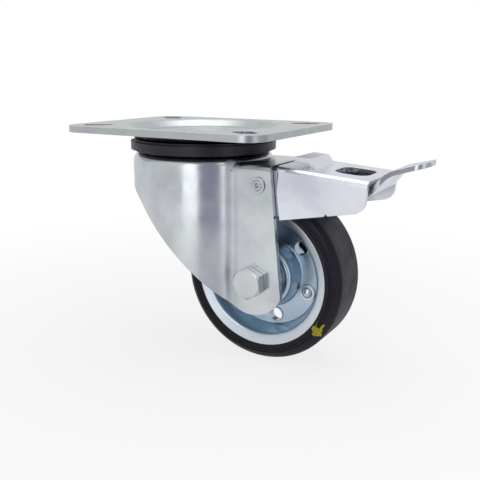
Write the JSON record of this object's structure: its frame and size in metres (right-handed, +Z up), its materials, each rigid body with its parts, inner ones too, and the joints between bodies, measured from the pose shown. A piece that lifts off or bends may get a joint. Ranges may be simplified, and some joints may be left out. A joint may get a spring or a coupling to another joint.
{
  "type": "braked castor",
  "caption": "Swivel castor with a slotted mounting plate, a pressed-steel fork, a rubber-tyred wheel on a roller bearing and a foot brake lever behind the fork.",
  "frame": {"origin": "centre of the plate's top face, on the swivel axis", "axes": "+Z up along the swivel axis, out of the plate's top face; +X along the plate's long side, towards the brake lever at rest; the bolt's head is on the -Y side"},
  "size_m": [0.1639, 0.085, 0.108],
  "materials": {
    "zinc_plated_steel": "bright zinc plating",
    "blue_zinc_rim": "bright blue zinc plating",
    "bearing_steel": "ground",
    "rubber": "matte",
    "black_plastic": "moulded",
    "nylon": "moulded"
  },
  "bodies": {
    "plate": {"top_plate": "zinc_plated_steel", "king_pin": "zinc_plated_steel", "lower_race": "zinc_plated_steel", "seal_ring": "black_plastic"},
    "upper_ball_ring": {"upper_balls": "bearing_steel"},
    "lower_ball_ring": {"lower_balls": "bearing_steel"},
    "fork": {"fork": "zinc_plated_steel", "axle_bolt": "zinc_plated_steel", "axle_nut": "zinc_plated_steel", "nut_insert": "nylon", "axle_sleeve": "bearing_steel", "near_washer": "black_plastic", "far_washer": "black_plastic", "brake_pin": "zinc_plated_steel"},
    "wheel": {"tyre": "rubber", "near_rim": "blue_zinc_rim", "far_rim": "blue_zinc_rim", "rim_rivets": "zinc_plated_steel", "hub_tube": "bearing_steel"},
    "roller_set": {"roller_cage": "black_plastic", "rollers": "bearing_steel"},
    "brake_lever": {"brake_channel": "zinc_plated_steel", "pedal_leaf": "zinc_plated_steel"}
  },
  "joints": [
    {"name": "swivel", "type": "hinge", "parent": "plate", "child": "fork", "pos_m": [0, 0, -0.0129], "axis": [0, 0, 1], "continuous": true},
    {"name": "upper_ball_orbit", "type": "hinge", "parent": "plate", "child": "upper_ball_ring", "pos_m": [0, 0, -0.0098], "axis": [0, 0, 1], "continuous": true},
    {"name": "lower_ball_orbit", "type": "hinge", "parent": "plate", "child": "lower_ball_ring", "pos_m": [0, 0, -0.018], "axis": [0, 0, 1], "continuous": true},
    {"name": "wheel_spin", "type": "hinge", "parent": "fork", "child": "wheel", "pos_m": [0.038, 0, -0.068], "axis": [0, 1, 0], "continuous": true},
    {"name": "roller_orbit", "type": "hinge", "parent": "fork", "child": "roller_set", "pos_m": [0.038, 0, -0.068], "axis": [0, 1, 0], "continuous": true},
    {"name": "brake_press", "type": "hinge", "parent": "fork", "child": "brake_lever", "pos_m": [0.0408, 0, -0.0236], "axis": [0, 1, 0], "range_deg": [0, 6]}
  ],
  "couplings": [
    {"joint": "upper_ball_orbit", "follows": "swivel", "ratio": 0.5},
    {"joint": "lower_ball_orbit", "follows": "swivel", "ratio": 0.5},
    {"joint": "roller_orbit", "follows": "wheel_spin", "ratio": 0.6154}
  ]
}
